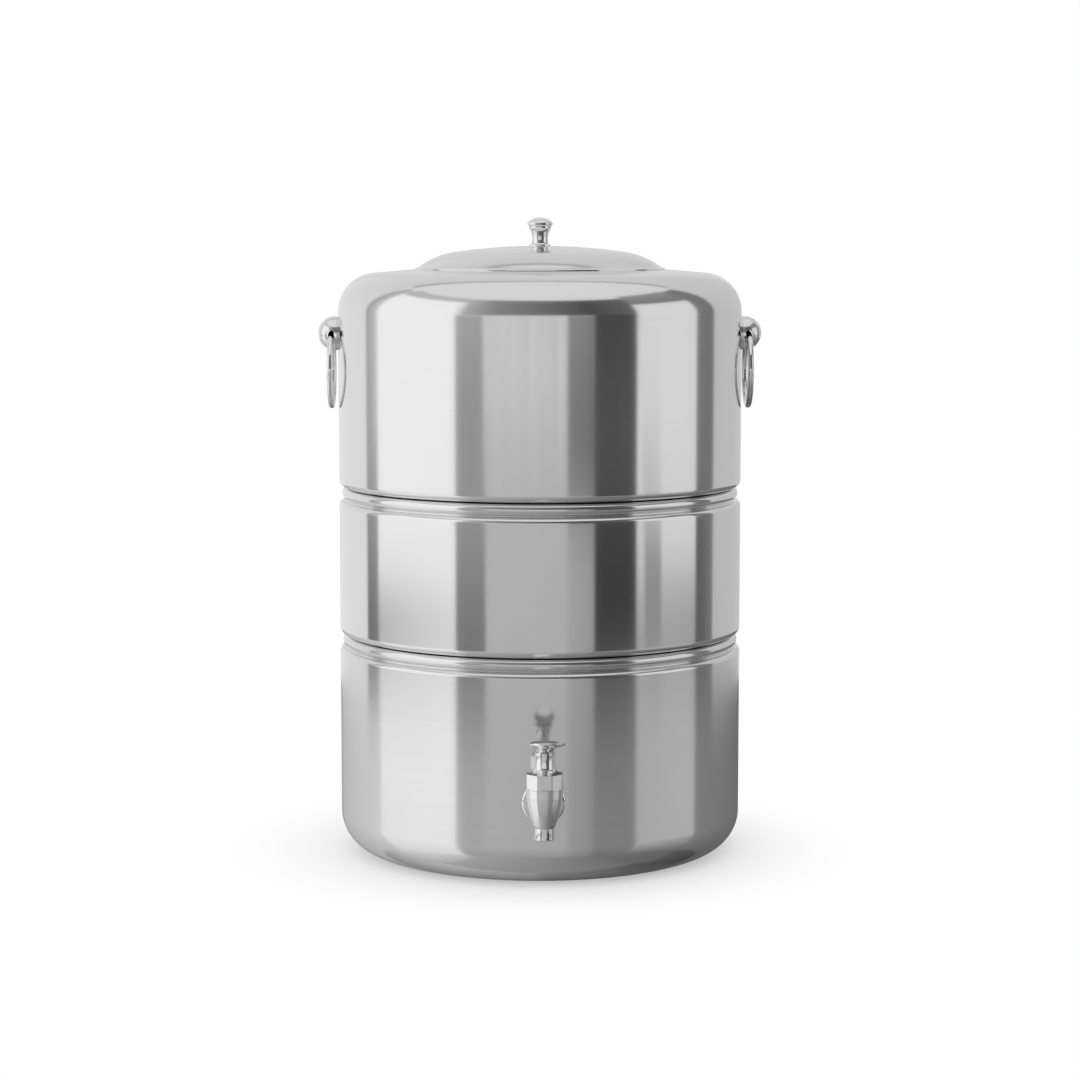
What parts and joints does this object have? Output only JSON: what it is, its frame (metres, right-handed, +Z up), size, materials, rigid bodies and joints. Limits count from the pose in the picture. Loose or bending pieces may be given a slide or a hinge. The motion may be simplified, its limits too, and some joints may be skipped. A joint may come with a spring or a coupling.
{
  "type": "water dispenser pot",
  "caption": "Cylindrical stainless steel water pot of stacked drawn shells with a domed lift-off lid and knob, ring handles hung in ball lugs, and a small spring-closed lever tap.",
  "frame": {"origin": "centre of the flat face that the pot stands on", "axes": "+Z up along the pot's axis, -Y out of the pot along the tap, X through the two ring handles"},
  "size_m": [0.185, 0.2058, 0.265],
  "materials": {
    "shell_steel": "lathe-polished stainless sheet, fine circumferential lines",
    "lid_steel": "polished stainless sheet, fine circular lines",
    "bright_metal": "mirror-bright turned metal",
    "hardware_steel": "plain machined steel",
    "solder": "dull solder",
    "seal_rubber": "matt rubber"
  },
  "bodies": {
    "root": {"base_shell": "shell_steel", "middle_shell": "shell_steel", "top_shell": "shell_steel", "lower_seam_ring": "solder", "upper_seam_ring": "solder", "left_lug": "bright_metal", "right_lug": "bright_metal", "left_lug_washer": "hardware_steel", "right_lug_washer": "hardware_steel", "left_lug_nut": "hardware_steel", "right_lug_nut": "hardware_steel", "tap_body": "bright_metal", "tap_outer_gasket": "seal_rubber", "tap_inner_gasket": "seal_rubber", "tap_washer": "hardware_steel", "tap_lock_nut": "hardware_steel", "tap_bonnet": "bright_metal", "valve_spring": "hardware_steel"},
    "lid": {"lid_shell": "lid_steel", "lid_skirt": "lid_steel", "lid_knob": "bright_metal", "knob_washer": "hardware_steel", "knob_screw": "hardware_steel"},
    "left_ring": {"left_ring": "bright_metal"},
    "right_ring": {"right_ring": "bright_metal"},
    "stem": {"valve_stem": "hardware_steel", "seat_cup": "seal_rubber"},
    "lever": {"tap_lever": "bright_metal", "lever_pin": "hardware_steel"}
  },
  "joints": [
    {"name": "lid_lift", "type": "slide", "parent": "root", "child": "lid", "axis": [0, 0, 1], "range_m": [0, 0.06]},
    {"name": "left_ring_swing", "type": "hinge", "parent": "root", "child": "left_ring", "pos_m": [-0.087, 0, 0.2161], "axis": [0, 1, 0], "range_deg": [0, 170]},
    {"name": "right_ring_swing", "type": "hinge", "parent": "root", "child": "right_ring", "pos_m": [0.087, 0, 0.2161], "axis": [0, -1, 0], "range_deg": [0, 170]},
    {"name": "stem_lift", "type": "slide", "parent": "root", "child": "stem", "axis": [0, 0, 1], "range_m": [0, 0.00157], "deforming": ["valve_spring"]},
    {"name": "lever_tilt", "type": "hinge", "parent": "stem", "child": "lever", "pos_m": [0, -0.104, 0.06045], "axis": [0.9954, 0.0958, 0], "range_deg": [0, 25], "stiffness_Nm_per_rad": 0.05, "springref_deg": -17.19}
  ],
  "couplings": [
    {"joint": "lever_tilt", "follows": "stem_lift", "rad_per_m": 277.78}
  ]
}
